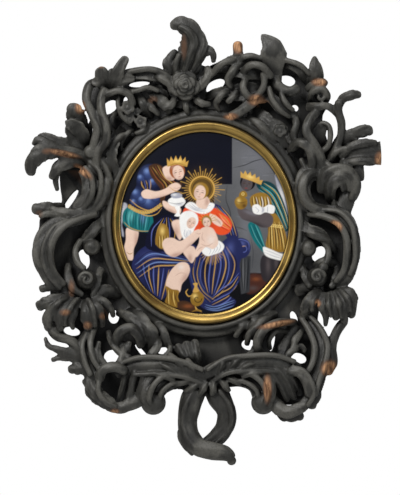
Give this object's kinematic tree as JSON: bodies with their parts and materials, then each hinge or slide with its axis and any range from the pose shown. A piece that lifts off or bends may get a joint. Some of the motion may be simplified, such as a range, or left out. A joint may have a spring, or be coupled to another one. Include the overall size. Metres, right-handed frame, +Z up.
{
  "type": "framed enamel plaque",
  "caption": "Oval painted enamel plaque in a brass bezel, set in a carved openwork wooden frame of leaves and scrolls, for hanging on a wall.",
  "frame": {"origin": "on the flat back of the carved frame, behind the middle of the plaque", "axes": "+Z up the plaque's height, -Y out of its front, +X to the right seen from the front"},
  "size_m": [0.3562, 0.0539, 0.4449],
  "materials": {
    "carved_wood": "dark waxed wood, worn pale where it is broken",
    "gilt_brass": "aged polished brass",
    "painted_enamel": "glossy painted enamel with gilt lines"
  },
  "bodies": {
    "root": {"carved_frame": "carved_wood", "brass_bezel": "gilt_brass", "enamel_plaque": "painted_enamel"}
  },
  "joints": []
}
